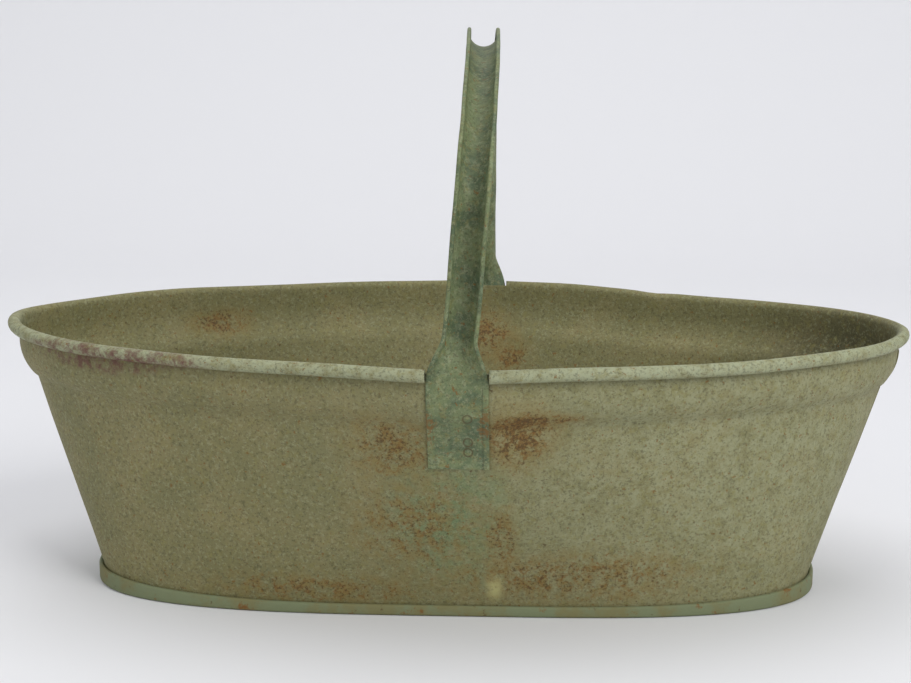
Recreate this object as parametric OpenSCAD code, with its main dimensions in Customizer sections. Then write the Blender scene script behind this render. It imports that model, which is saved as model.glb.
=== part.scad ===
// Oval sheet-metal garden trug: two wall halves lapped at the ends, a wired rim,
// a base pan locked on by a double seam, and one channel-section strip as the handle.

/* [Tub] */
// Length of the rim, from bead middle to bead middle
rim_length = 510; // [420:5:620]
// Width of the rim beside the handle, before the handle draws it out
rim_width = 265; // [220:5:320]
// Roundness of the rim outline: 2 is an ellipse and less is more pointed
rim_exponent = 1.84; // [1.7:0.02:2.3]
// Height of the bead's middle above the ground
rim_height = 146; // [120:2:190]
// How far the handle has drawn each long side outwards
rim_pull = 8.2; // [0:0.2:12]
// Length along the rim over which that pull dies away
pull_reach = 39; // [25:1:70]
// How far the wall's foot stands inside the rim, all round
wall_inset = 50.6; // [35:0.2:60]
// Roundness of the foot outline
foot_exponent = 2.95; // [2.2:0.05:3.2]
// Thickness of the sheet in the walls and the base
sheet_t = 0.8; // [0.6:0.1:1.2]

/* [Rim bead and shoulder] */
// Diameter of the wire that the rim is rolled round
wire_d = 5.2; // [4:0.2:7]
// Height of the straight neck under the bead's middle
neck_h = 9.5; // [8:0.5:14]
// Radius of the bulged shoulder under the neck
shoulder_r = 26; // [20:1:34]
// Angle at which the shoulder ends
shoulder_angle = 38; // [24:2:45]
// Drop of the crease under the shoulder
crease_h = 3; // [2:0.5:5]
// How far the crease steps in
crease_in = 3.4; // [2:0.2:5]

/* [Seams] */
// Height of the bottom seam at the middle of the long sides
seam_h = 6; // [5:0.5:10]
// Extra height of the bottom seam at the two ends
seam_end_extra = 4; // [0:0.5:6]
// Width of the flat ring under the seam that the trug stands on, inside the wall
ring_w = 4; // [3:0.5:8]
// How far the base panel is lifted off the ground
panel_lift = 2.5; // [1:0.5:5]
// Angle along the end of the outline over which the wall halves lap
lap_angle = 4; // [3:0.5:6]

/* [Handle] */
// How far the handle stands to one side of the middle
handle_x = 7; // [-12:1:12]
// Height of the channel's floor at the crown, above the ground
crown_z = 305; // [260:5:380]
// How far the crown leans sideways; the front leg takes all of the lean
handle_lean = 6.4; // [0:0.4:12]
// Width of the strip, flat, with its hems folded
strip_w = 32; // [26:1:40]
// Thickness of the strip
strip_t = 1; // [0.8:0.1:1.4]
// Width of the hem folded back along each edge
hem_w = 3; // [2:0.5:4]
// Width of the part of the strip that is bent into the round of the channel
bend_w = 27; // [22:0.5:30]
// Height of the arch above the straight legs
arch_rise = 72; // [50:2:90]
// Roundness of the arch: 2 is an ellipse
arch_exponent = 1.7; // [1.5:0.1:2.5]
// How far the tab reaches down the wall from the bead's middle
tab_drop = 47; // [42:1:60]
// How far under the bead's middle the tab lies on the wall again, past the crease
reseat_h = 33.5; // [32:0.5:38]
// Length over which the channel is beaten flat
flatten_h = 26; // [20:1:34]
// How far the channel's floor stands inside the tab's plane
web_in = 4.3; // [2:0.1:6]

/* [Tab welds] */
// Diameter of each plug weld
weld_d = 4.8; // [4:0.2:6]
// How far the row of welds stands to one side of the handle's middle
weld_x = 5; // [-8:0.5:8]
// Drops of the two lower welds under the bead's middle
weld_drops = [37.5, 43.5];
// Height of a weld's crown above the tab
weld_crown = 0.4; // [0.2:0.1:0.8]

/* [Hidden] */
$fn = 48;

front = -1;
rear = 1;
left = -1;
right = 1;

// Clearances: round the wire, between folded layers, at the laps and under the tabs
wire_gap = 0.1;
fold_gap = 0.1;
lap_gap = 0.05;
seat_gap = 0.02;
notch_gap = 0.3;

// Driving sizes of the outlines
rim_half_l = rim_length / 2;
rim_half_w = rim_width / 2;
foot_half_l = rim_half_l - wall_inset;
foot_half_w = rim_half_w - wall_inset;
panel_half = strip_w / 2 + 2;
notch_half = strip_w / 2 + notch_gap;

// Rolled rim: radius of the sheet's middle round the wire
roll_r = wire_d / 2 + wire_gap + sheet_t / 2;
roll_step = 40;
curl_angles = [-125, -95, -60, -20, 20, 60, 100, 140, 180];

// Shoulder and crease, as distances in from the rim and down from the bead's middle
arc_steps = 3;
arc_angles = [for (k = [0 : arc_steps]) shoulder_angle * k / arc_steps];
crease_d = roll_r + shoulder_r * (1 - cos(shoulder_angle)) + crease_in;
crease_drop = neck_h + shoulder_r * sin(shoulder_angle) + crease_h;
side_steps = [0, 0.2, 0.45, 0.7, 0.94, 1];

// Double seam: each layer stands one pitch further out than the last
pitch = sheet_t + fold_gap;
turn_z = sheet_t + fold_gap + sheet_t / 2 + pitch;
corner_r = 1;
lap_shift = sheet_t + lap_gap;

// Angles of the stations in one quadrant, closer together towards the end of the tub
quadrant_steps = 13;
spread = 1.4;
later_angles = [for (k = [2 : quadrant_steps]) 90 * pow(k / quadrant_steps, spread)];
quadrant = concat([0, lap_angle], later_angles);

// Handle path: outward distance of the tab's and the leg's middle plane
rim_y = rim_half_w + rim_pull;
seat_out = sheet_t / 2 + seat_gap + strip_t / 2;
tab_y = rim_y - roll_r + seat_out;
leg_y = tab_y - web_in;
spring_z = crown_z - strip_t / 2 - arch_rise;
crown_mid_z = crown_z - strip_t / 2;
arch_step = 7.5;
flat_drops = [6, 3, 0, -3, -6, -9, -12.5, -16.5, -24];
web_shift_drop = -2;
web_shift_h = 22;

function lerp(a, b, k) = a + (b - a) * k;
function unit(v) = v / norm(v);
function smooth(u) = let(k = min(max(u, 0), 1)) k * k * (3 - 2 * k);
function reversed(list) = [for (k = [len(list) - 1 : -1 : 0]) list[k]];

// A station is [left or right, front or rear, angle], and its angle is 0 at the end of the tub
// and 90 at the edge of the flat panel under the handle.
function outline(st, half_l, half_w, e, pull) =
    let (run = half_l - st[0] * handle_x - panel_half)
    let (along = run * pow(cos(st[2]), 2 / e))
    let (drawn = pull * sin(st[2]) * exp(-along / pull_reach))
    [handle_x + st[0] * (panel_half + along), st[1] * (half_w * pow(sin(st[2]), 2 / e) + drawn)];

// Outward direction of an outline at a station
function outward(st, half_l, half_w, e, pull) =
    st[2] == 0 ? [st[0], 0] :
    st[2] == 90 ? [0, st[1]] :
    let (a = outline([st[0], st[1], st[2] - 0.5], half_l, half_w, e, pull))
    let (b = outline([st[0], st[1], st[2] + 0.5], half_l, half_w, e, pull))
    unit([st[0] * abs(b.y - a.y), st[1] * abs(b.x - a.x)]);

function rim_point(st, out, z) =
    let (p = outline(st, rim_half_l, rim_half_w, rim_exponent, rim_pull))
    let (n = outward(st, rim_half_l, rim_half_w, rim_exponent, rim_pull))
    [p.x + n.x * out, p.y + n.y * out, z];

function foot_point(st, out, z) =
    let (p = outline(st, foot_half_l, foot_half_w, foot_exponent, 0))
    let (n = outward(st, foot_half_l, foot_half_w, foot_exponent, 0))
    [p.x + n.x * out, p.y + n.y * out, z];

function seam_top(st) = seam_h + seam_end_extra * pow(cos(st[2]), 2);

// Direction and fold of a line of points at its middle one; a missing neighbour is undef
function heading(a, p, b) =
    is_undef(a) ? unit(b - p) : is_undef(b) ? unit(p - a) : unit(unit(b - p) + unit(p - a));
function fold(a, p, b, n) =
    is_undef(a) || is_undef(b) ? 0 :
    let (d1 = unit(p - a))
    let (d2 = unit(b - p))
    (d2 - d1) * n / norm(d1 + d2);

// Point of a grid moved along its own normal, so that flat stretches keep their thickness
function moved(p, across, along, distance) =
    let (u = heading(across[0], p, across[1]))
    let (v = heading(along[0], p, along[1]))
    let (n = unit(cross(v, u)))
    let (fu = fold(across[0], p, across[1], n))
    let (fv = fold(along[0], p, along[1], n))
    p + n * distance * sqrt(1 + fu * fu + fv * fv);

// Faces of a grid of columns, seen from its outer side; the first point is at index start
function grid_faces(columns, rows, start, turned) =
    [for (j = [0 : columns - 2], i = [0 : rows - 2], half = [0, 1])
        let (a = start + j * rows + i)
        let (b = a + rows)
        let (tri = half == 0 ? [a, b, b + 1] : [a, b + 1, a + 1])
        turned ? reversed(tri) : tri];

// Sheet through a grid of columns. The first and the last column only give its directions.
// shifts holds one row for each column, of how far the sheet stands outside the grid.
module sheet(columns, shifts, t) {
    n = len(columns) - 2;
    m = len(columns[0]);
    function side(sign) =
        [for (j = [1 : n], i = [0 : m - 1])
            moved(columns[j][i], [columns[j - 1][i], columns[j + 1][i]],
                  [columns[j][i - 1], columns[j][i + 1]], shifts[j][i] + sign * t / 2)];
    back = n * m;
    edges = [for (j = [0 : n - 2])
        let (a = j * m)
        let (b = a + m)
        each [[a, back + a, back + b], [a, back + b, b],
              [b + m - 1, back + b + m - 1, back + a + m - 1], [b + m - 1, back + a + m - 1, a + m - 1]]];
    ends = [for (i = [0 : m - 2])
        let (z = (n - 1) * m + i)
        each [[back + i, i, i + 1], [back + i, i + 1, back + i + 1],
              [z, back + z, back + z + 1], [z, back + z + 1, z + 1]]];
    faces = concat(grid_faces(n, m, 0, false), grid_faces(n, m, back, true), edges, ends);
    polyhedron(concat(side(1), side(-1)), faces, convexity = 10);
}

// Solid through closed rings of points, all in the same turn. cap is the list of faces that
// closes a ring, seen from the side that the rings run towards.
module loft(rings, cap) {
    n = len(rings);
    m = len(rings[0]);
    walls = [for (k = [0 : n - 2], i = [0 : m - 1], half = [0, 1])
        let (j = (i + 1) % m)
        half == 0 ? [k * m + i, (k + 1) * m + i, (k + 1) * m + j] : [k * m + i, (k + 1) * m + j, k * m + j]];
    first = [for (face = cap) reversed(face)];
    last = [for (face = cap) [for (i = face) (n - 1) * m + i]];
    polyhedron([for (r = rings) each r], concat(walls, first, last), convexity = 10);
}

// One column of a wall half: round the wire, over the shoulder and crease, down the side,
// and out and up again at the foot as the flange of the double seam
function wall_column(st) =
    let (crease = rim_point(st, -crease_d, rim_height - crease_drop))
    let (foot = foot_point(st, 0, seam_top(st)))
    concat(
        [for (a = curl_angles) rim_point(st, roll_r * cos(a), rim_height + roll_r * sin(a))],
        [for (a = arc_angles)
            rim_point(st, -roll_r - shoulder_r * (1 - cos(a)), rim_height - neck_h - shoulder_r * sin(a))],
        [for (k = side_steps) lerp(crease, foot, k)],
        [for (a = [180 : 45 : 360]) foot_point(st, pitch * (1 + cos(a)), turn_z + pitch * sin(a))],
        [foot_point(st, 2 * pitch, seam_top(st) - sheet_t / 2 - pitch)]);

// Rows of a column that stand outside the other half where the halves lap
first_lap_row = len(curl_angles);
last_lap_row = first_lap_row + len(arc_angles) + len(side_steps) - 2;
function is_lap_row(i) = i >= first_lap_row && i <= last_lap_row;

// Stations of the front or rear half, with a tongue past its first end and a spare at each side
function wall_stations(side) = concat(
    [[side, -side, quadrant[2]], [side, -side, lap_angle]],
    [for (a = quadrant) [side, side, a]],
    [for (a = reversed(quadrant)) [-side, side, a]],
    [[-side, -side, lap_angle]]);

// Notch in the rim where the handle's tab passes: the bead is cut off to the wall's outer face,
// and the plain edge that is left is trimmed
module rim_notch(side) {
    face_y = rim_y - roll_r + sheet_t / 2 + seat_gap / 2;
    reach = 2 * roll_r + wire_d;
    trim_z = rim_height + 1;
    translate([handle_x - notch_half, side > 0 ? face_y : -face_y - reach, rim_height - roll_r - wire_d])
        cube([2 * notch_half, reach, reach + wire_d]);
    translate([handle_x - notch_half, side * rim_y - reach, trim_z])
        cube([2 * notch_half, 2 * reach, reach]);
}

// The tongue is cut clear of the bead above it and of the bottom seam below it
module lap_notches(side) {
    reach = 40;
    low_z = lerp(rim_height - crease_drop, seam_h + seam_end_extra, side_steps[len(side_steps) - 2]) + 0.2;
    high_z = rim_height - neck_h - 0.2;
    corner_x = side > 0 ? foot_half_l - reach : -rim_half_l - reach;
    corner_y = side > 0 ? -reach : 0;
    across = wall_inset + 2 * reach;
    translate([corner_x, corner_y, -1])
        cube([across, reach, low_z + 1]);
    translate([corner_x, corner_y, high_z])
        cube([across, reach, 2 * neck_h]);
}

module wall_half(side) {
    stations = wall_stations(side);
    columns = [for (st = stations) wall_column(st)];
    shifts = [for (st = stations)
        [for (i = [0 : len(columns[0]) - 1])
            st[0] == side && (st[1] == -side || st[2] == 0) && is_lap_row(i) ? lap_shift : 0]];
    difference() {
        sheet(columns, shifts, sheet_t);
        rim_notch(side);
        lap_notches(side);
    }
}

module front_wall() {
    color([0.44, 0.45, 0.33])
        wall_half(front);
}

module rear_wall() {
    color([0.42, 0.44, 0.33])
        wall_half(rear);
}

// One column of the base pan: the hem inside the seam, over the wall's flange, down the outside,
// under the seam as the standing ring, and up to the lifted panel
function pan_column(st) =
    let (fold_z = seam_top(st) - sheet_t / 2 - pitch)
    let (ring_z = sheet_t / 2)
    concat(
        [foot_point(st, pitch, turn_z + 0.6)],
        [for (a = [180 : -45 : 0]) foot_point(st, pitch * (2 + cos(a)), fold_z + pitch * sin(a))],
        [for (a = [0 : -45 : -90])
            foot_point(st, 3 * pitch - corner_r * (1 - cos(a)), ring_z + corner_r * (1 + sin(a)))],
        [foot_point(st, -ring_w, ring_z), foot_point(st, -ring_w - panel_lift, ring_z + panel_lift)]);

loop_stations = concat(
    [for (a = quadrant) [right, rear, a]],
    [for (k = [len(quadrant) - 1 : -1 : 0]) [left, rear, quadrant[k]]],
    [for (k = [1 : len(quadrant) - 1]) [left, front, quadrant[k]]],
    [for (k = [len(quadrant) - 1 : -1 : 1]) [right, front, quadrant[k]]]);

module base_pan() {
    columns = [for (st = loop_stations) pan_column(st)];
    n = len(columns);
    m = len(columns[0]);
    function side(sign) =
        [for (j = [0 : n - 1], i = [0 : m - 1])
            moved(columns[j][i], [columns[(j + n - 1) % n][i], columns[(j + 1) % n][i]],
                  [columns[j][i - 1], columns[j][i + 1]], sign * sheet_t / 2)];
    back = n * m;
    skins = [for (j = [0 : n - 1], i = [0 : m - 2])
        let (a = j * m + i)
        let (b = ((j + 1) % n) * m + i)
        each [[a, b, b + 1], [a, b + 1, a + 1],
              [back + b + 1, back + b, back + a], [back + a + 1, back + b + 1, back + a]]];
    rim = [for (j = [0 : n - 1])
        let (a = j * m)
        let (b = ((j + 1) % n) * m)
        each [[a, back + a, back + b], [a, back + b, b]]];
    under = [for (j = [0 : n - 1]) j * m + m - 1];
    over = [for (j = [n - 1 : -1 : 0]) back + j * m + m - 1];
    color([0.36, 0.40, 0.31])
        polyhedron(concat(side(1), side(-1)), concat(skins, rim, [under, over]), convexity = 10);
}

// Wire inside the bead, from the front notch round one end to the rear notch
module rim_wire(hand) {
    wire_r = wire_d / 2;
    path = concat(
        [[handle_x + hand * notch_half, -rim_y, 0, -1]],
        [for (a = reversed(quadrant)) wire_stop([hand, front, a])],
        [for (k = [1 : len(quadrant) - 1]) wire_stop([hand, rear, quadrant[k]])],
        [[handle_x + hand * notch_half, rim_y, 0, 1]]);
    sides = 360 / roll_step;
    rings = [for (p = path)
        [for (a = [0 : roll_step : 359])
            let (turn = 180 - hand * a)
            [p[0] + p[2] * wire_r * cos(turn), p[1] + p[3] * wire_r * cos(turn),
             rim_height + wire_r * sin(turn)]]];
    loft(rings, [[for (i = [sides - 1 : -1 : 0]) i]]);
}

function wire_stop(st) =
    let (p = rim_point(st, 0, 0))
    let (q = rim_point(st, 1, 0))
    [p.x, p.y, q.x - p.x, q.y - p.y];

module rim_wire_left() {
    color([0.35, 0.27, 0.20])
        rim_wire(left);
}

module rim_wire_right() {
    color([0.35, 0.27, 0.20])
        rim_wire(right);
}

// Wall's middle plane in the flat panel under the handle, as [outward distance, height]
function panel_side(drop) =
    let (top = [rim_y - crease_d, rim_height - crease_drop])
    let (low = [foot_half_w, seam_h])
    let (k = (rim_height - drop - top.y) / (low.y - top.y))
    lerp(top, low, k);
function panel_arc(a) =
    [rim_y - roll_r - shoulder_r * (1 - cos(a)), rim_height - neck_h - shoulder_r * sin(a)];

// The tab's middle line lies on the lower wall, bridges the crease and follows the shoulder
seat_line = concat(
    [panel_side(tab_drop), panel_side(reseat_h)],
    [for (a = reversed(arc_angles)) panel_arc(a)],
    [[rim_y - roll_r, rim_height]]);

// A line in the panel moved outwards by a distance, with square corners kept parallel
function panel_offset(line, distance) =
    [for (k = [0 : len(line) - 1])
        let (d1 = unit(line[max(k, 1)] - line[max(k, 1) - 1]))
        let (last = len(line) - 1)
        let (d2 = unit(line[min(k, last - 1) + 1] - line[min(k, last - 1)]))
        let (d = unit(d1 + d2))
        line[k] + [d.y, -d.x] * distance / (d * d1)];

tab_line = panel_offset(seat_line, seat_out);

// One side of the handle from tab to leg: [outward distance, height, bend of the section]
half_path = concat(
    [for (k = [0 : len(tab_line) - 2]) [tab_line[k].x, tab_line[k].y, 0]],
    [for (h = flat_drops)
        [tab_y - web_in * smooth((web_shift_drop - h) / web_shift_h),
         rim_height - h,
         180 * smooth((neck_h - h) / flatten_h)]]);

handle_path = concat(
    [for (p = half_path) [-p[0], p[1], p[2]]],
    [for (a = [0 : arch_step : 180])
        [-leg_y * sign(cos(a)) * pow(abs(cos(a)), 2 / arch_exponent),
         spring_z + arch_rise * pow(sin(a), 2 / arch_exponent),
         180]],
    reversed(half_path));

// The front leg leans and the rear leg stands upright
function handle_point(p) =
    let (rise = max(0, (p[1] - rim_height) / (crown_mid_z - rim_height)))
    [handle_x + handle_lean * rise * (1 - p[0] / leg_y), p[0], p[1]];

// Flat section of the strip, as [distance along the strip's width, height over its middle plane]
edge_r = (strip_t + hem_w * 0.4) / 2;
hem_half = strip_w / 2 - edge_r;
hem_top = 2 * edge_r - strip_t / 2;
web_stops = [for (k = [-4 : 4]) k * (strip_w / 2 - hem_w) / 4];
strip_section = concat(
    [[-hem_half, -strip_t / 2]],
    [for (s = web_stops) [s, -strip_t / 2]],
    [for (a = [-90 : 45 : 90]) [hem_half + edge_r * cos(a), hem_top - edge_r + edge_r * sin(a)]],
    [[strip_w / 2 - hem_w, hem_top]],
    [for (s = reversed(web_stops)) [s, strip_t / 2]],
    [[hem_w - strip_w / 2, hem_top]],
    [for (a = [90 : 45 : 225]) [-hem_half + edge_r * cos(a), hem_top - edge_r + edge_r * sin(a)]]);

// Faces that close the strip's end. Of the section's points, 5 to 13 lie on the web's upper side and
// 20 to 28 on its lower side, and each hem has a fan round its outermost point, 1 or 17.
function fan(hub, points) = [for (k = [0 : len(points) - 2]) [hub, points[k], points[k + 1]]];
strip_end = concat(
    [for (k = [0 : 7]) [6 + k, 5 + k, 28 - k, 27 - k]],
    fan(1, [0, 29, 28, 5, 4, 3, 2]),
    fan(17, [16, 15, 14, 13, 20, 19, 18]));

// Bends a point of the flat section round an arc of the given angle, towards its hems
function bent(p, angle) =
    angle < 1 ? p :
    let (half = angle / 2)
    let (flat_half = bend_w / 2)
    let (r = flat_half / (half * PI / 180))
    let (s = min(max(p.x, -flat_half), flat_half))
    let (a = half * s / flat_half)
    let (over = p.x - s)
    [(r - p.y) * sin(a) + over * cos(a), r - (r - p.y) * cos(a) + abs(over) * sin(abs(a))];

function handle_ring(k) =
    let (points = [for (p = handle_path) handle_point(p)])
    let (last = len(points) - 1)
    let (a = k > 0 ? points[k - 1] : undef)
    let (b = k < last ? points[k + 1] : undef)
    let (t = heading(a, points[k], b))
    let (w = unit([1, 0, 0] - t * t.x))
    let (n = cross(w, t))
    let (f = fold(a, points[k], b, n))
    [for (p = reversed(strip_section))
        let (q = bent(p, handle_path[k][2]))
        points[k] + w * q.x + n * q.y * sqrt(1 + f * f)];

// Places of the welds on the wall's outer face, as [outward distance, height, slope]
face_line = panel_offset(seat_line, sheet_t / 2);
function slope(a, b) = atan2(b.x - a.x, b.y - a.y);
seat_slope = slope(face_line[0], face_line[1]);
weld_places = concat(
    [[(face_line[2].x + face_line[3].x) / 2, (face_line[2].y + face_line[3].y) / 2,
      slope(face_line[2], face_line[3])]],
    [for (drop = weld_drops)
        let (k = (rim_height - drop - face_line[0].y) / (face_line[1].y - face_line[0].y))
        let (p = lerp(face_line[0], face_line[1], k))
        [p.x, p.y, seat_slope]]);

module at_welds(side) {
    for (p = weld_places)
        translate([handle_x + weld_x, side * p[0], p[1]])
            rotate([-side * (90 + p[2]), 0, 0])
                children();
}

module handle() {
    color([0.47, 0.52, 0.40])
        difference() {
            loft([for (k = [0 : len(handle_path) - 1]) handle_ring(k)], strip_end);
            for (side = [front, rear])
                at_welds(side)
                    cylinder(d = weld_d, h = 2 * strip_t + 1);
        }
}

// Plug weld: fills the hole in the tab, sits on the wall and is slightly crowned
module tab_welds(side) {
    weld_r = weld_d / 2 - seat_gap;
    top = strip_t + seat_gap;
    at_welds(side)
        rotate_extrude()
            polygon([[0, 0], [weld_r, 0], [weld_r, top], [0.6 * weld_r, top + weld_crown * 0.8],
                     [0, top + weld_crown]]);
}

module front_tab_welds() {
    color([0.40, 0.37, 0.28])
        tab_welds(front);
}

module rear_tab_welds() {
    color([0.40, 0.37, 0.28])
        tab_welds(rear);
}

front_wall();
rear_wall();
base_pan();
handle();
rim_wire_left();
rim_wire_right();
front_tab_welds();
rear_tab_welds();
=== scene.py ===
import math

import bpy
from mathutils import Matrix, Vector, noise


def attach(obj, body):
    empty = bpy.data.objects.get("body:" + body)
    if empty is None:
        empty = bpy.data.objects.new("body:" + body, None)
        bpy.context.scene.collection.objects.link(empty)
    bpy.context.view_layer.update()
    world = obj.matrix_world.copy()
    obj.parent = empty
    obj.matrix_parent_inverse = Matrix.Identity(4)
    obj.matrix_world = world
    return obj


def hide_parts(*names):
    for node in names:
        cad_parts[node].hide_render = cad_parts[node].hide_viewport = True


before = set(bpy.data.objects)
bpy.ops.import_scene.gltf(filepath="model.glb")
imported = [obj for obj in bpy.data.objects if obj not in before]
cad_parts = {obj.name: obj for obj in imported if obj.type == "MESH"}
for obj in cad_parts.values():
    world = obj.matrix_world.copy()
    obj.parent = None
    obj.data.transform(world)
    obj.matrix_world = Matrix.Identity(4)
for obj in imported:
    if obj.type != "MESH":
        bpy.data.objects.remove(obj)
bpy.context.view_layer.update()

FRONT, REAR = -1, 1
LEFT, RIGHT = -1, 1
MM = 0.001

# Sizes of the tub in millimetres, as in the part's source
RIM_HALF_L = 255.0
RIM_HALF_W = 132.5
RIM_EXPONENT = 1.84
RIM_HEIGHT = 146.0
RIM_PULL = 8.2
PULL_REACH = 39.0
WALL_INSET = 50.6
FOOT_HALF_L = RIM_HALF_L - WALL_INSET
FOOT_HALF_W = RIM_HALF_W - WALL_INSET
FOOT_EXPONENT = 2.95
SHEET_T = 0.8
WIRE_R = 2.6
ROLL_R = 3.1
NECK_H = 9.5
SHOULDER_R = 26.0
SHOULDER_ANGLE = 38.0
CREASE_IN = 3.4
CREASE_H = 3.0
CREASE_D = ROLL_R + SHOULDER_R * (1 - math.cos(math.radians(SHOULDER_ANGLE))) + CREASE_IN
CREASE_DROP = NECK_H + SHOULDER_R * math.sin(math.radians(SHOULDER_ANGLE)) + CREASE_H
SEAM_H = 6.0
SEAM_END_EXTRA = 4.0
RING_W = 4.0
PANEL_LIFT = 2.5
PITCH = 0.9
TURN_Z = 2.2
CORNER_R = 1.0
LAP_ANGLE = 4.0
LAP_SHIFT = 0.85

# Sizes of the handle in millimetres, as in the part's source, but for the tab's length, its beaten
# hems and the place of the flare, which follow the photograph
HANDLE_X = 7.0
STRIP_W = 32.0
STRIP_T = 1.0
HEM_W = 3.0
BEND_W = 27.0
PANEL_MARGIN = 2.0
NOTCH_GAP = 0.3
PANEL_HALF = STRIP_W / 2 + PANEL_MARGIN
NOTCH_HALF = STRIP_W / 2 + NOTCH_GAP
HANDLE_LEAN = 6.4
CROWN_MID_Z = 304.5
ARCH_RISE = 72.0
ARCH_EXPONENT = 1.7
SPRING_Z = CROWN_MID_Z - ARCH_RISE
TAB_DROP = 53.0
RESEAT_H = 33.5
FLATTEN_H = 24.0
FLARE_DROP = 3.2
TAB_HEM = 0.35
WEB_IN = 4.3
SEAT_OUT = 0.92
WEB_SHIFT_DROP = -2.0
WEB_SHIFT_H = 22.0
RIM_Y = RIM_HALF_W + RIM_PULL
TAB_Y = RIM_Y - ROLL_R + SEAT_OUT
LEG_Y = TAB_Y - WEB_IN

# Camera, fitted to the photograph, in millimetres, degrees and pixels of a picture 911 wide
CAM_DISTANCE = 1101.0
CAM_YAW = 0.77
CAM_ELEVATION = 11.03
CAM_ROLL = 0.70
CAM_RIGHT = 43.96
CAM_UP = 137.19
CAM_FOCAL_PX = 1910.0
PHOTO_WIDTH_PX = 911.0
MIDDLE_PX = 534.6
SENSOR_MM = 36.0


def smooth(u):
    k = min(max(u, 0.0), 1.0)
    return k * k * (3 - 2 * k)


def lerp(a, b, k):
    return a + (b - a) * k


def power(value, exponent):
    return max(value, 0.0) ** exponent


# Outlines: a station is (left or right, front or rear, angle), with 0 at the tub's end. A fourth
# number is its distance from the handle's middle, for a station in the flat panel at 90 degrees.
NORMAL_STEP = 0.4


def outline(st, half_l, half_w, exponent, pull):
    c = max(math.cos(math.radians(st[2])), 0.0)
    s = math.sin(math.radians(st[2]))
    along = (half_l - st[0] * HANDLE_X - PANEL_HALF) * power(c, 2 / exponent)
    drawn = pull * s * math.exp(-along / PULL_REACH)
    reach = st[3] if len(st) > 3 else PANEL_HALF + along
    x = HANDLE_X + st[0] * reach
    return x, st[1] * (half_w * power(s, 2 / exponent) + drawn)


def outward(st, half_l, half_w, exponent, pull):
    if st[2] <= 0:
        return st[0], 0.0
    if st[2] >= 90:
        return 0.0, st[1]
    step = min(NORMAL_STEP, st[2] / 2, (90 - st[2]) / 2)
    a = outline((st[0], st[1], st[2] - step), half_l, half_w, exponent, pull)
    b = outline((st[0], st[1], st[2] + step), half_l, half_w, exponent, pull)
    n = Vector((st[0] * abs(b[1] - a[1]), st[1] * abs(b[0] - a[0]))).normalized()
    return n.x, n.y


RIM = (RIM_HALF_L, RIM_HALF_W, RIM_EXPONENT, RIM_PULL)
FOOT = (FOOT_HALF_L, FOOT_HALF_W, FOOT_EXPONENT, 0.0)


def place(st, curve, out, z):
    p = outline(st, *curve)
    n = outward(st, *curve)
    return Vector((p[0] + n[0] * out, p[1] + n[1] * out, z))


def on_circle(st, curve, out, z, radius, angle):
    """Point of a circle that stands upright across an outline; its middle is at out and z."""
    turn = math.radians(angle)
    return place(st, curve, out + radius * math.cos(turn), z + radius * math.sin(turn))


def seam_top(st):
    return SEAM_H + SEAM_END_EXTRA * math.cos(math.radians(st[2])) ** 2


# Wear of the shape in millimetres: long waves and short ripples, which the handle and the seam hold
# back near them
WAVE_LENGTH = 95
WAVE_ALONG = 0.8
WAVE_ACROSS = 1.6
WAVE_UP = 1.5
RIPPLE_LENGTH = 31
RIPPLE_START = 40
RIPPLE_ACROSS = 0.55
HANDLE_HOLD = 20
HANDLE_FADE = 60
SEAM_FADE = 12

# Without a seed, Blender seeds the noise by the clock and each run would wear the rim another way
WEAR_SEED = 1
noise.seed_set(WEAR_SEED)

# Swells of the rim, as (middle, width, height): the far side sags and has a bend towards its right
# end, and the near side is bowed in two places
SAG = (150, 70, 1.8)
BEND = (118, 9, 0.9)
LEFT_BOW = (-110, 70, 1.6)
RIGHT_BOW = (190, 45, 1.5)


def swell(x, middle, width, height):
    return math.exp(-((x - middle) / width) ** 2) * height


def worn(p):
    """Moves a point as years of use have: the rim sags and bows, the sides have shallow dents."""
    free = smooth((abs(p.x - HANDLE_X) - HANDLE_HOLD) / HANDLE_FADE)
    high = smooth(p.z / RIM_HEIGHT)
    over = smooth(p.z / SEAM_FADE)
    slow = noise.noise_vector(Vector((p.x, p.y * 1.3, p.z * 0.8)) / WAVE_LENGTH)
    quick = noise.noise_vector(Vector((p.x + RIPPLE_START, p.y, p.z)) / RIPPLE_LENGTH)
    x = p.x + free * high * WAVE_ALONG * slow.x
    y = p.y + free * over * (WAVE_ACROSS * slow.y + RIPPLE_ACROSS * quick.y)
    z = p.z + free * high * (WAVE_UP * slow.z)
    if p.y > 0:
        z -= free * high * (swell(p.x, *SAG) + swell(p.x, *BEND))
    else:
        y += free * high * (swell(p.x, *LEFT_BOW) - swell(p.x, *RIGHT_BOW))
    return Vector((x, y, max(z, p.z * 0.5)))


def mesh_piece(name, points, faces, moved=True):
    mesh = bpy.data.meshes.new(name)
    put = worn if moved else (lambda p: p)
    mesh.from_pydata([put(p) * MM for p in points], [], faces)
    mesh.validate()
    mesh.update()
    for face in mesh.polygons:
        face.use_smooth = True
    piece = bpy.data.objects.new(name, mesh)
    bpy.context.scene.collection.objects.link(piece)
    return piece


def thicken(piece, thickness):
    solid = piece.modifiers.new("sheet", "SOLIDIFY")
    solid.thickness = thickness * MM
    solid.offset = 0
    solid.use_even_offset = True


# Wall halves: rows of a column run round the wire, over the shoulder, down the side and out at the foot
CURL_ANGLES = range(-125, 146, 18)
EDGE_ANGLES = (162, 180)
SHOULDER_STEPS = 9
NECK_STEPS = 3
SIDE_STEPS = 26
ROUND_STEP = 30


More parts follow.
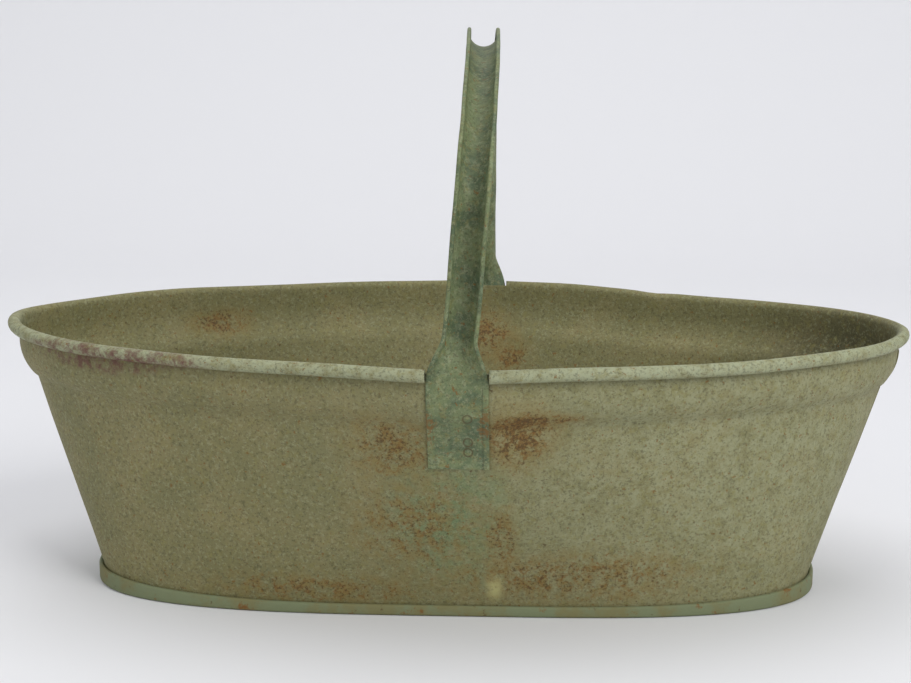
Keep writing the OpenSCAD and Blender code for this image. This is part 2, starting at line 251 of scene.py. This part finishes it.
def wall_column(st):
    curl = [on_circle(st, RIM, 0, RIM_HEIGHT, ROLL_R, a) for a in CURL_ANGLES]
    edge = [on_circle(st, RIM, 0, RIM_HEIGHT, ROLL_R, a) for a in EDGE_ANGLES]
    bends = [-SHOULDER_ANGLE * k / SHOULDER_STEPS for k in range(SHOULDER_STEPS + 1)]
    shoulder = [on_circle(st, RIM, -ROLL_R - SHOULDER_R, RIM_HEIGHT - NECK_H, SHOULDER_R, a) for a in bends]
    neck = [lerp(edge[1], shoulder[0], k / NECK_STEPS) for k in range(1, NECK_STEPS)]
    crease = place(st, RIM, -CREASE_D, RIM_HEIGHT - CREASE_DROP)
    foot = place(st, FOOT, 0, seam_top(st))
    side = [lerp(crease, foot, k / SIDE_STEPS) for k in range(SIDE_STEPS + 1)]
    turn = [on_circle(st, FOOT, PITCH, TURN_Z, PITCH, a) for a in range(180, 361, ROUND_STEP)]
    flange = [place(st, FOOT, 2 * PITCH, seam_top(st) - SHEET_T / 2 - PITCH)]
    return curl + edge + neck + shoulder + side + turn + flange


# Stations along the tub, in each of its quadrants
SPREAD = 1.4
WALL_STEPS = 64
PAN_STEPS = 48
WIRE_STEPS = 40


def quadrant_angles(steps):
    """Angles of the stations in a quadrant, closer together towards the tub's end."""
    return [90 * (k / steps) ** SPREAD for k in range(steps + 1)]


# Lap of the halves: each half's tongue steps out over the other half, below the bead and above the seam
CURL_ROWS = len(CURL_ANGLES)
FIRST_LAP_ROW = CURL_ROWS + len(EDGE_ANGLES) + NECK_STEPS - 1
ROWS_BELOW_LAP = 11
TONGUE_SHARES = (1, 0.66, 0.33)
STEP_OUT_ANGLE = 0.9


def wall_half(name, side):
    angles = quadrant_angles(WALL_STEPS)
    tongue = [(side, -side, LAP_ANGLE * share) for share in TONGUE_SHARES]
    notch = [(side, side, 90, NOTCH_HALF), (-side, side, 90, NOTCH_HALF)]
    near = [(side, side, a) for a in angles]
    far = [(-side, side, a) for a in reversed(angles)]
    stations = tongue + near + notch + far
    columns = [wall_column(st) for st in stations]
    rows = len(columns[0])
    last_lap = rows - ROWS_BELOW_LAP
    points = []
    for st, column in zip(stations, columns):
        lapped = st[0] == side and (st[1] == -side or st[2] < STEP_OUT_ANGLE)
        n = outward(st, *RIM)
        for i, p in enumerate(column):
            shift = LAP_SHIFT if lapped and FIRST_LAP_ROW <= i <= last_lap else 0.0
            points.append(p + Vector((n[0], n[1], 0)) * shift)
    faces = []
    for j in range(len(stations) - 1):
        in_tongue = j < len(tongue)
        in_notch = len(stations[j]) > 3 and len(stations[j + 1]) > 3
        for i in range(rows - 1):
            if in_tongue and not FIRST_LAP_ROW <= i < last_lap:
                continue
            if in_notch and i < CURL_ROWS:
                continue
            a, b = j * rows + i, (j + 1) * rows + i
            faces.append((a, b, b + 1, a + 1))
    piece = mesh_piece(name, points, faces)
    thicken(piece, SHEET_T)
    return piece


# Base pan: hem, seam band, standing ring and lifted panel
HEM_RISE = 0.6
PANEL_SHARES = (0.06, 0.2, 0.4, 0.6, 0.8)


def pan_column(st):
    fold_z = seam_top(st) - SHEET_T / 2 - PITCH
    ring_z = SHEET_T / 2
    hem = [place(st, FOOT, PITCH, TURN_Z + HEM_RISE)]
    fold = [on_circle(st, FOOT, 2 * PITCH, fold_z, PITCH, a) for a in range(180, -1, -ROUND_STEP)]
    corner = [on_circle(st, FOOT, 3 * PITCH - CORNER_R, ring_z + CORNER_R, CORNER_R, a)
              for a in range(0, -91, -ROUND_STEP)]
    step = [place(st, FOOT, -RING_W, ring_z), place(st, FOOT, -RING_W - PANEL_LIFT, ring_z + PANEL_LIFT)]
    edge = step[-1]
    middle = Vector((0, 0, edge.z))
    panel = [lerp(edge, middle, share) for share in PANEL_SHARES]
    return hem + fold + corner + step + panel


def base_pan():
    angles = quadrant_angles(PAN_STEPS)
    loop = [(RIGHT, REAR, a) for a in angles] + [(LEFT, REAR, a) for a in reversed(angles)]
    loop += [(LEFT, FRONT, a) for a in angles[1:]] + [(RIGHT, FRONT, a) for a in reversed(angles[1:])]
    columns = [pan_column(st) for st in loop]
    rows = len(columns[0])
    count = len(columns)
    points = [p for column in columns for p in column]
    faces = []
    for j in range(count):
        for i in range(rows - 1):
            a, b = j * rows + i, ((j + 1) % count) * rows + i
            faces.append((a, b, b + 1, a + 1))
    faces.append([j * rows + rows - 1 for j in range(count)])
    piece = mesh_piece("seamed_base", points, faces)
    thicken(piece, SHEET_T)
    return piece


# Wire in the bead, shown only where its cut ends look out of the notches
WIRE_SET_BACK = 0.3
WIRE_SIDES = 12


def rim_wire(name, hand):
    angles = quadrant_angles(WIRE_STEPS)
    path = [(hand, FRONT, a) for a in reversed(angles)] + [(hand, REAR, a) for a in angles[1:]]
    ends = [Vector((HANDLE_X + hand * (NOTCH_HALF + WIRE_SET_BACK), y, 0)) for y in (-RIM_Y, RIM_Y)]
    along = [(place(st, RIM, 0, 0), outward(st, *RIM)) for st in path]
    centres = [(ends[0], (0, -1))] + along + [(ends[1], (0, 1))]
    points = []
    for c, n in centres:
        for k in range(WIRE_SIDES):
            a = 2 * math.pi * k / WIRE_SIDES
            out = WIRE_R * math.cos(a)
            points.append(Vector((c.x + n[0] * out, c.y + n[1] * out, RIM_HEIGHT + WIRE_R * math.sin(a))))
    faces = []
    for j in range(len(centres) - 1):
        a, b = j * WIRE_SIDES, (j + 1) * WIRE_SIDES
        for k in range(WIRE_SIDES):
            m = (k + 1) % WIRE_SIDES
            faces.append((a + k, b + k, b + m, a + m))
    faces.append(list(range(WIRE_SIDES)))
    faces.append([(len(centres) - 1) * WIRE_SIDES + k for k in reversed(range(WIRE_SIDES))])
    return mesh_piece(name, points, faces)


# Handle: path and section as in the part's source, but with closer steps. A point of the path is
# (y, z, angle that the section is bent round).
SEAT_STEPS = 6
FLAT_TOP_DROP = 7.5
FLAT_STEP = 1.5
FLAT_STEPS = 22
LEG_FOOT_Z = 176
LEG_STEP = 8
ARCH_STEP = 3
WEB_STEPS = 9
LIP_ROUND = 0.2
LIP_DROP = 0.25


def panel_side(drop):
    top = Vector((RIM_Y - CREASE_D, RIM_HEIGHT - CREASE_DROP))
    low = Vector((FOOT_HALF_W, SEAM_H))
    return lerp(top, low, (RIM_HEIGHT - drop - top.y) / (low.y - top.y))


def panel_arc(angle):
    turn = math.radians(angle)
    y = RIM_Y - ROLL_R - SHOULDER_R * (1 - math.cos(turn))
    return Vector((y, RIM_HEIGHT - NECK_H - SHOULDER_R * math.sin(turn)))


def panel_offset(line, distance):
    moved = []
    for k, p in enumerate(line):
        d1 = (line[max(k, 1)] - line[max(k, 1) - 1]).normalized()
        after = min(k, len(line) - 2)
        d2 = (line[after + 1] - line[after]).normalized()
        d = (d1 + d2).normalized()
        moved.append(p + Vector((d.y, -d.x)) * distance / d.dot(d1))
    return moved


def half_path():
    seat = [panel_side(TAB_DROP), panel_side(lerp(TAB_DROP, RESEAT_H, 0.5)), panel_side(RESEAT_H)]
    seat += [panel_arc(SHOULDER_ANGLE * k / SEAT_STEPS) for k in range(SEAT_STEPS, -1, -1)]
    seat.append(Vector((RIM_Y - ROLL_R, RIM_HEIGHT)))
    tab = [(p.x, p.y, 0.0) for p in panel_offset(seat, SEAT_OUT)[:-1]]
    flat = []
    for k in range(FLAT_STEPS):
        drop = FLAT_TOP_DROP - FLAT_STEP * k
        y = TAB_Y - WEB_IN * smooth((WEB_SHIFT_DROP - drop) / WEB_SHIFT_H)
        flat.append((y, RIM_HEIGHT - drop, 180 * smooth((NECK_H - FLARE_DROP - drop) / FLATTEN_H)))
    leg = [(LEG_Y, z, 180.0) for z in range(LEG_FOOT_Z, int(SPRING_Z) - 2, LEG_STEP)]
    return tab + flat + leg


def handle_path():
    side = half_path()
    arch = []
    for angle in range(0, 181, ARCH_STEP):
        a = math.radians(angle)
        y = -LEG_Y * math.copysign(abs(math.cos(a)) ** (2 / ARCH_EXPONENT), math.cos(a))
        arch.append((y, SPRING_Z + ARCH_RISE * power(math.sin(a), 2 / ARCH_EXPONENT), 180.0))
    return [(-p[0], p[1], p[2]) for p in side] + arch + list(reversed(side))


EDGE_R = (STRIP_T + HEM_W * 0.4) / 2
HEM_HALF = STRIP_W / 2 - EDGE_R
HEM_TOP = 2 * EDGE_R - STRIP_T / 2


def strip_section():
    lip = STRIP_W / 2 - HEM_W
    web = [lip * k / WEB_STEPS for k in range(-WEB_STEPS, WEB_STEPS + 1)]
    hem = [math.radians(a) for a in range(-90, 91, ROUND_STEP)]
    right_hem = [(HEM_HALF + EDGE_R * math.cos(a), HEM_TOP - EDGE_R + EDGE_R * math.sin(a)) for a in hem]
    right_side = right_hem + [(lip + LIP_ROUND, HEM_TOP), (lip, HEM_TOP - LIP_DROP)]
    left_side = [(-x, y) for x, y in reversed(right_side)]
    under = [(s, -STRIP_T / 2) for s in web]
    over = [(s, STRIP_T / 2) for s in reversed(web)]
    return under + right_side + over + left_side


def bent(p, angle):
    """A point of the flat section, once the section is bent round an arc of an angle."""
    if angle < 1:
        return p
    half = math.radians(angle / 2)
    flat_half = BEND_W / 2
    r = flat_half / half
    s = min(max(p[0], -flat_half), flat_half)
    a = half * s / flat_half
    over = p[0] - s
    x = (r - p[1]) * math.sin(a) + over * math.cos(a)
    return x, r - (r - p[1]) * math.cos(a) + abs(over) * math.sin(abs(a))


# The channel's edges waver between two heights, and its hems stand up in full once it is bent this far
WAVER = 0.35
WAVER_LENGTH = 23
WAVER_LOW = 150
WAVER_HIGH = 300
FULL_HEM_ANGLE = 90


def handle_strip():
    path = handle_path()
    spine = []
    for y, z, _ in path:
        rise = max(0.0, (z - RIM_HEIGHT) / (CROWN_MID_Z - RIM_HEIGHT))
        spine.append(Vector((HANDLE_X + HANDLE_LEAN * rise * (1 - y / LEG_Y), y, z)))
    section = list(reversed(strip_section()))
    count = len(section)
    points = []
    for k, p in enumerate(spine):
        before = (p - spine[k - 1]).normalized() if k else (spine[1] - p).normalized()
        after = (spine[k + 1] - p).normalized() if k < len(spine) - 1 else before
        t = (before + after).normalized()
        w = (Vector((1, 0, 0)) - t * t.x).normalized()
        n = w.cross(t)
        waver = WAVER * noise.noise(p / WAVER_LENGTH) if WAVER_LOW < p.z < WAVER_HIGH else 0.0
        stands = lerp(TAB_HEM, 1.0, smooth(path[k][2] / FULL_HEM_ANGLE))
        for q in section:
            raised = max(q[1] - STRIP_T / 2, 0) * stands
            x, y = bent((q[0], min(q[1], STRIP_T / 2) + raised), path[k][2])
            points.append(p + w * (x + waver) + n * y)
    faces = []
    for k in range(len(spine) - 1):
        for i in range(count):
            j = (i + 1) % count
            faces.append((k * count + i, (k + 1) * count + i, (k + 1) * count + j, k * count + j))
    faces.append(list(reversed(range(count))))
    faces.append([(len(spine) - 1) * count + i for i in range(count)])
    return mesh_piece("channel_handle", points, faces, moved=False)


# Materials
def colour(r, g, b):
    """A colour given as 0 to 255 on screen, as the linear value that a shader takes."""
    def linear(v):
        v = v / 255
        return v / 12.92 if v <= 0.04045 else ((v + 0.055) / 1.055) ** 2.4
    return linear(r), linear(g), linear(b), 1.0


SPECULAR = 0.35
BUMP_DISTANCE = 0.6 * MM
BEAD_FOOT = (141.5 * MM, 143.5 * MM)
NEAR_SIDE = (30 * MM, -30 * MM)


class Painter:
    """Small helper that builds one weathered-paint material out of masks and colours."""

    def __init__(self, name):
        self.material = bpy.data.materials.new(name)
        self.material.use_nodes = True
        self.tree = self.material.node_tree
        self.bsdf = self.tree.nodes["Principled BSDF"]
        self.place = self.tree.nodes.new("ShaderNodeTexCoord").outputs["Object"]
        self.paint = None

    def link(self, a, b):
        self.tree.links.new(a, b)

    def noise(self, scale, detail=6.0, rough=0.6, seed=0.0):
        """Noise over the object's own place, with scale in turns per metre."""
        shift = self.tree.nodes.new("ShaderNodeMapping")
        shift.inputs["Location"].default_value = (seed, seed * 0.7, seed * 1.3)
        tex = self.tree.nodes.new("ShaderNodeTexNoise")
        tex.inputs["Scale"].default_value = scale
        tex.inputs["Detail"].default_value = detail
        tex.inputs["Roughness"].default_value = rough
        self.link(self.place, shift.inputs["Vector"])
        self.link(shift.outputs[0], tex.inputs["Vector"])
        return tex.outputs["Fac"]

    def ramp(self, value, low, high):
        """Mask that rises from 0 to 1 as a value goes from low to high."""
        node = self.tree.nodes.new("ShaderNodeMapRange")
        node.interpolation_type = "SMOOTHSTEP"
        node.inputs["From Min"].default_value = low
        node.inputs["From Max"].default_value = high
        self.link(value, node.inputs["Value"])
        return node.outputs[0]

    def combine(self, kind, a, b):
        """Sum or product of two masks or numbers, held between 0 and 1."""
        node = self.tree.nodes.new("ShaderNodeMath")
        node.operation = kind
        node.use_clamp = True
        for socket, v in zip(node.inputs, (a, b)):
            if isinstance(v, (int, float)):
                socket.default_value = v
            else:
                self.link(v, socket)
        return node.outputs[0]

    def times(self, a, b):
        return self.combine("MULTIPLY", a, b)

    def vector(self, kind, source, value=(0, 0, 0)):
        node = self.tree.nodes.new("ShaderNodeVectorMath")
        node.operation = kind
        node.inputs[1].default_value = value
        self.link(source, node.inputs[0])
        return node.outputs["Value" if kind == "LENGTH" else "Vector"]

    def axes(self, source):
        split = self.tree.nodes.new("ShaderNodeSeparateXYZ")
        self.link(source, split.inputs[0])
        return split.outputs

    def spot(self, centre, radii, ragged=0.5):
        """Mask that is 1 in the middle of an ellipsoid (mm) and breaks up towards its edge."""
        off = self.vector("SUBTRACT", self.place, [c * MM for c in centre])
        length = self.vector("LENGTH", self.vector("DIVIDE", off, [r * MM for r in radii]))
        away = self.ramp(length, 1.15, 0.15)
        broken = self.ramp(self.noise(150, 5, 0.65, seed=centre[0] * 0.01), 0.62, 0.36)
        return self.times(away, self.combine("ADD", broken, 1 - ragged))

    def speckled(self, centre, radii, density, scale=420.0):
        """Mask of fine speckles that stand close together in the middle of an ellipsoid (mm)."""
        grain = self.noise(scale, 5, 0.7, seed=centre[0] * 0.013 + density)
        thick = self.times(self.spot(centre, radii, 0.45), density)
        return self.ramp(self.combine("ADD", grain, thick), 0.66, 0.78)

    def ring(self, x, z, radius, width):
        """Mask of a ring (mm) seen along Y."""
        off = self.vector("SUBTRACT", self.place, (x * MM, 0, z * MM))
        length = self.vector("LENGTH", self.vector("MULTIPLY", off, (1, 0, 1)))
        short = self.tree.nodes.new("ShaderNodeMath")
        short.operation = "SUBTRACT"
        short.inputs[1].default_value = radius * MM
        self.link(length, short.inputs[0])
        away = self.tree.nodes.new("ShaderNodeMath")
        away.operation = "ABSOLUTE"
        self.link(short.outputs[0], away.inputs[0])
        return self.ramp(away.outputs[0], width * MM, 0.0)

    def faces_left(self):
        """Mask of faces that look towards the left, as the right-hand end's inner face does; painted shade
        is laid there.
        """
        geometry = self.tree.nodes.new("ShaderNodeNewGeometry")
        return self.ramp(self.axes(geometry.outputs["Normal"])["X"], -0.05, -0.35)

    def near_bead(self):
        """Mask of the bead on the near side: high up on the tub and in front of its middle."""
        axes = self.axes(self.place)
        return self.times(self.ramp(axes["Z"], *BEAD_FOOT), self.ramp(axes["Y"], *NEAR_SIDE))

    def over(self, rgb, mask=None):
        """Lays a colour over what is there by a mask; the first colour needs none."""
        if self.paint is None:
            node = self.tree.nodes.new("ShaderNodeRGB")
            node.outputs[0].default_value = rgb
            self.paint = node.outputs[0]
            return
        node = self.tree.nodes.new("ShaderNodeMix")
        node.data_type = "RGBA"
        self.link(mask, node.inputs["Factor"])
        self.link(self.paint, node.inputs["A"])
        node.inputs["B"].default_value = rgb
        self.paint = node.outputs["Result"]

    def mottle(self, rgb, grain, low, high, strength=1):
        """Lays a colour over what is there where a noise rises from low to high."""
        mask = self.ramp(grain, low, high)
        self.over(rgb, mask if strength == 1 else self.times(mask, strength))

    def finish(self, rough_low, rough_high, bump, grain=260.0):
        """Gives the paint its roughness and its fine bumps."""
        self.link(self.paint, self.bsdf.inputs["Base Color"])
        rough = self.tree.nodes.new("ShaderNodeMapRange")
        rough.inputs["To Min"].default_value = rough_low
        rough.inputs["To Max"].default_value = rough_high
        self.link(self.noise(55, 6, 0.6), rough.inputs["Value"])
        self.link(rough.outputs[0], self.bsdf.inputs["Roughness"])
        self.bsdf.inputs["Specular IOR Level"].default_value = SPECULAR
        node = self.tree.nodes.new("ShaderNodeBump")
        node.inputs["Strength"].default_value = bump
        node.inputs["Distance"].default_value = BUMP_DISTANCE
        self.link(self.noise(grain, 8, 0.7), node.inputs["Height"])
        self.link(node.outputs[0], self.bsdf.inputs["Normal"])
        return self.material


SAGE = colour(152, 154, 120)
PALE_SAGE = colour(160, 166, 136)
OLIVE = colour(118, 115, 77)
KHAKI = colour(134, 126, 86)
GREEN = colour(108, 126, 88)
OCHRE = colour(130, 112, 62)
YELLOW_GREEN = colour(128, 122, 70)
RUST = colour(118, 84, 38)
DARK_RUST = colour(78, 58, 30)
MAROON = colour(98, 60, 54)
CREAM = colour(172, 166, 112)
# Dark olive: fine dark mottling on the walls and handle, and also painted shade inside the tub's right-hand
# end
SOOT_AND_SHADE = colour(66, 62, 40)
DULL_GREEN = colour(116, 124, 92)
LEAF_GREEN = colour(110, 122, 84)
DEEP_GREEN = colour(82, 98, 70)
PALE_GREEN = colour(146, 156, 122)
BROWN = colour(96, 70, 48)
PALE_GREY = colour(228, 228, 230)

# Marks round the weld plugs in each tab, in millimetres
WELD_PLACE_X = HANDLE_X + 5.0
WELD_HEIGHTS = (122.8, 108.5, 102.5)
WELD_MARK_R = 2.3
WELD_MARK_W = 0.8
TAB_RUST = [(21, -135, 116), (-8, -135, 112)]
TAB_RUST_RADII = (7, 16, 26)

# Places on the tub in millimetres, as (middle, radii, how ragged from 0 to 1)
PALE_HALF = ((170, -90, 90), (260, 170, 150), 0.1)
GREEN_PATCH = ((4, -105, 62), (40, 60, 62), 0.3)
# Painted shade on the inner face of the right-hand end, which turns away from the lamps
SHADED_RIGHT_END = ((236, 20, 110), (90, 110, 60), 0.2)
CREAM_SPOT = ((25, -90, 17), (6, 16, 11), 0.6)
FRONT_RUST = [
    ((38, -125, 110), (30, 26, 30), 0.6),
    ((44, -128, 120), (46, 20, 7), 0.6),
    ((-28, -122, 104), (36, 28, 30), 0.9),
    ((29, -100, 50), (12, 26, 30), 0.8),
    ((-16, -95, 60), (50, 40, 44), 1.0),
    ((70, -88, 24), (110, 24, 24), 1.0),
    ((-80, -88, 14), (110, 24, 14), 1.0),
]
MAROON_SPOTS = [
    ((-190, -74, 141), (66, 54, 11), 0.4),
    ((-150, -100, 145), (48, 30, 7), 0.4),
]
INSIDE_RUST = [
    ((-150, 92, 128), (34, 22, 12), 0.7),
    ((12, 128, 118), (24, 18, 26), 0.6),
    ((28, 125, 100), (20, 18, 22), 0.8),
]


def fine_mottle(p):
    """Fine mottling of the paint on the walls and the handle, a millimetre or two across."""
    p.mottle(YELLOW_GREEN, p.noise(230, 5, 0.8, seed=23.1), 0.50, 0.64, 0.55)
    p.mottle(SAGE, p.noise(460, 4, 0.8, seed=11.3), 0.51, 0.62, 0.45)
    p.mottle(SOOT_AND_SHADE, p.noise(560, 4, 0.8, seed=17.9), 0.51, 0.62, 0.50)


def primer(p, spot):
    """Mask of a ragged patch where the paint has gone and the dark red primer shows."""
    worn_off = p.ramp(p.noise(150, 7, 0.75, seed=4.9), 0.40, 0.62)
    return p.times(p.ramp(p.spot(*spot), 0.10, 0.60), p.times(worn_off, 0.85))


def wall_paint():
    p = Painter("weathered_wall_paint")
    p.over(OLIVE)
    p.mottle(KHAKI, p.noise(26, 8, 0.7), 0.40, 0.66, 0.8)
    p.mottle(SAGE, p.noise(130, 8, 0.8, seed=3.1), 0.30, 0.66, p.times(p.spot(*PALE_HALF), 0.85))
    p.mottle(GREEN, p.noise(90, 6, 0.7, seed=5.2), 0.36, 0.56, p.spot(*GREEN_PATCH))
    p.mottle(PALE_SAGE, p.noise(120, 6, 0.7, seed=8.4), 0.30, 0.56, p.times(p.near_bead(), 0.75))
    # Painted shade: darkens the inner face of the tub's right-hand end, which looks towards the left
    p.over(SOOT_AND_SHADE, p.times(p.spot(*SHADED_RIGHT_END), p.faces_left()))
    fine_mottle(p)
    for spot in FRONT_RUST + INSIDE_RUST:
        p.over(OCHRE, p.times(p.spot(*spot), 0.85))
    for middle, radii, ragged in FRONT_RUST + INSIDE_RUST:
        density = 1.3 - ragged * 0.6
        p.over(RUST, p.times(p.speckled(middle, radii, 0.27 * density), 0.7))
        p.over(DARK_RUST, p.times(p.speckled(middle, radii, 0.25 * density, 600), 0.8))
    for spot in MAROON_SPOTS:
        p.over(MAROON, primer(p, spot))
    p.over(CREAM, p.spot(*CREAM_SPOT))
    p.mottle(RUST, p.noise(400, 3, 0.6, seed=6.6), 0.64, 0.70, 0.8)
    p.mottle(DARK_RUST, p.noise(300, 3, 0.6, seed=9.6), 0.68, 0.73, 0.7)
    return p.finish(0.55, 0.85, 0.6, 420)


def base_paint():
    p = Painter("weathered_base_paint")
    p.over(DULL_GREEN)
    p.mottle(OLIVE, p.noise(40, 7, 0.65, seed=4.4), 0.45, 0.62)
    p.mottle(RUST, p.noise(120, 7, 0.7, seed=7.7), 0.58, 0.68)
    p.mottle(DARK_RUST, p.noise(180, 7, 0.7, seed=9.9), 0.62, 0.70)
    return p.finish(0.6, 0.9, 0.6)


def handle_paint():
    p = Painter("weathered_handle_paint")
    p.over(LEAF_GREEN)
    p.mottle(DEEP_GREEN, p.noise(60, 6, 0.6, seed=1.1), 0.42, 0.62)
    p.mottle(PALE_GREEN, p.noise(180, 6, 0.7, seed=2.9), 0.50, 0.66, 0.35)
    fine_mottle(p)
    p.mottle(SOOT_AND_SHADE, p.noise(300, 5, 0.7, seed=5.5), 0.62, 0.70, 0.7)
    p.mottle(RUST, p.noise(330, 4, 0.6, seed=3.3), 0.62, 0.68, 0.8)
    for middle in TAB_RUST:
        p.over(RUST, p.times(p.speckled(middle, TAB_RUST_RADII, 0.30), 0.8))
    for z in WELD_HEIGHTS:
        p.over(DARK_RUST, p.times(p.ring(WELD_PLACE_X, z, WELD_MARK_R, WELD_MARK_W), 0.7))
    return p.finish(0.45, 0.75, 0.5, 420)


def wire_steel():
    p = Painter("rusty_wire")
    p.over(BROWN)
    p.mottle(DARK_RUST, p.noise(300, 6, 0.7), 0.45, 0.6)
    return p.finish(0.6, 0.85, 0.5)


paints = {"wall_paint": wall_paint(), "base_paint": base_paint(),
          "handle_paint": handle_paint(), "wire_steel": wire_steel()}


def stand_for(piece, node, slot):
    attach(piece, "root")
    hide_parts(node)
    piece.data.materials.append(paints[slot])


stand_for(wall_half("seamed_front_wall", FRONT), "front_wall", "wall_paint")
stand_for(wall_half("seamed_rear_wall", REAR), "rear_wall", "wall_paint")
stand_for(base_pan(), "base_pan", "base_paint")
stand_for(handle_strip(), "handle", "handle_paint")
stand_for(rim_wire("bead_wire_left", LEFT), "rim_wire_left", "wire_steel")
stand_for(rim_wire("bead_wire_right", RIGHT), "rim_wire_right", "wire_steel")
for node in ("front_tab_welds", "rear_tab_welds"):
    for weld_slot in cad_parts[node].material_slots:
        weld_slot.material = paints["handle_paint"]


# Floor and backdrop in one curved sheet of pale cloth, in metres
FLOOR_SIDE = 3.0
FLOOR_FRONT = -4.0
FLOOR_BACK = 1.6
FLOOR_BEND = 0.5
BACKDROP_TOP = 3.5
FLOOR_GAP = 0.0002


def floor_material():
    material = bpy.data.materials.new("pale_cloth")
    material.use_nodes = True
    tree = material.node_tree
    bsdf = tree.nodes["Principled BSDF"]
    bsdf.inputs["Base Color"].default_value = PALE_GREY
    bsdf.inputs["Roughness"].default_value = 0.9
    return material


def floor():
    line = [(FLOOR_FRONT, 0.0), (FLOOR_BACK - FLOOR_BEND, 0.0)]
    for angle in range(9, 91, 9):
        a = math.radians(angle)
        y = FLOOR_BACK - FLOOR_BEND + FLOOR_BEND * math.sin(a)
        line.append((y, FLOOR_BEND - FLOOR_BEND * math.cos(a)))
    line += [(FLOOR_BACK, BACKDROP_TOP)]
    points = [Vector((x, y, z - FLOOR_GAP)) for y, z in line for x in (-FLOOR_SIDE, FLOOR_SIDE)]
    faces = [(2 * k, 2 * k + 1, 2 * k + 3, 2 * k + 2) for k in range(len(line) - 1)]
    mesh = bpy.data.meshes.new("ground_cloth")
    mesh.from_pydata(points, [], faces)
    for face in mesh.polygons:
        face.use_smooth = True
    sheet = bpy.data.objects.new("ground_cloth", mesh)
    bpy.context.scene.collection.objects.link(sheet)
    sheet.data.materials.append(floor_material())


floor()


# Camera and light
def camera():
    a, e, r = (math.radians(v) for v in (CAM_YAW, CAM_ELEVATION, CAM_ROLL))
    forward = Vector((-math.sin(a) * math.cos(e), math.cos(a) * math.cos(e), -math.sin(e)))
    right = Vector((math.cos(a), math.sin(a), 0))
    up = right.cross(forward)
    eye = (Vector((0, 0, CAM_UP)) + right * CAM_RIGHT - forward * CAM_DISTANCE) * MM
    x_axis = right * math.cos(r) + up * math.sin(r)
    y_axis = up * math.cos(r) - right * math.sin(r)
    data = bpy.data.cameras.new("photo_camera")
    data.sensor_width = SENSOR_MM
    data.lens = CAM_FOCAL_PX / PHOTO_WIDTH_PX * SENSOR_MM
    data.shift_x = -(MIDDLE_PX - PHOTO_WIDTH_PX / 2) / PHOTO_WIDTH_PX
    data.clip_start = 0.01
    cam = bpy.data.objects.new("photo_camera", data)
    basis = Matrix((x_axis, y_axis, -forward)).transposed().to_4x4()
    cam.matrix_world = Matrix.Translation(eye) @ basis
    bpy.context.scene.collection.objects.link(cam)
    bpy.context.scene.camera = cam


def area_light(name, place, target, size, watts):
    data = bpy.data.lights.new(name, "AREA")
    data.shape = "SQUARE"
    data.size = size
    data.energy = watts
    lamp = bpy.data.objects.new(name, data)
    lamp.location = place
    lamp.rotation_euler = (Vector(target) - Vector(place)).to_track_quat("-Z", "Y").to_euler()
    bpy.context.scene.collection.objects.link(lamp)


# Lamps, as (name, place, point that it shines at, size, watts), in metres
LAMPS = [
    ("window_light", (1.5, -1.6, 1.7), (0.1, 0, 0.1), 1.4, 38),
    ("top_light", (-0.3, 0.3, 2.2), (0, 0.1, 0), 2.0, 21),
    ("fill_light", (-1.6, -1.3, 0.9), (0, 0, 0.1), 1.4, 7),
]
SKY_COLOUR = (0.93, 0.95, 1.0, 1)
SKY_STRENGTH = 0.43


def light():
    for lamp in LAMPS:
        area_light(*lamp)
    world = bpy.data.worlds.new("studio")
    bpy.context.scene.world = world
    world.use_nodes = True
    world.node_tree.nodes["Background"].inputs["Color"].default_value = SKY_COLOUR
    world.node_tree.nodes["Background"].inputs["Strength"].default_value = SKY_STRENGTH


camera()
light()
bpy.context.scene.view_settings.view_transform = "Standard"
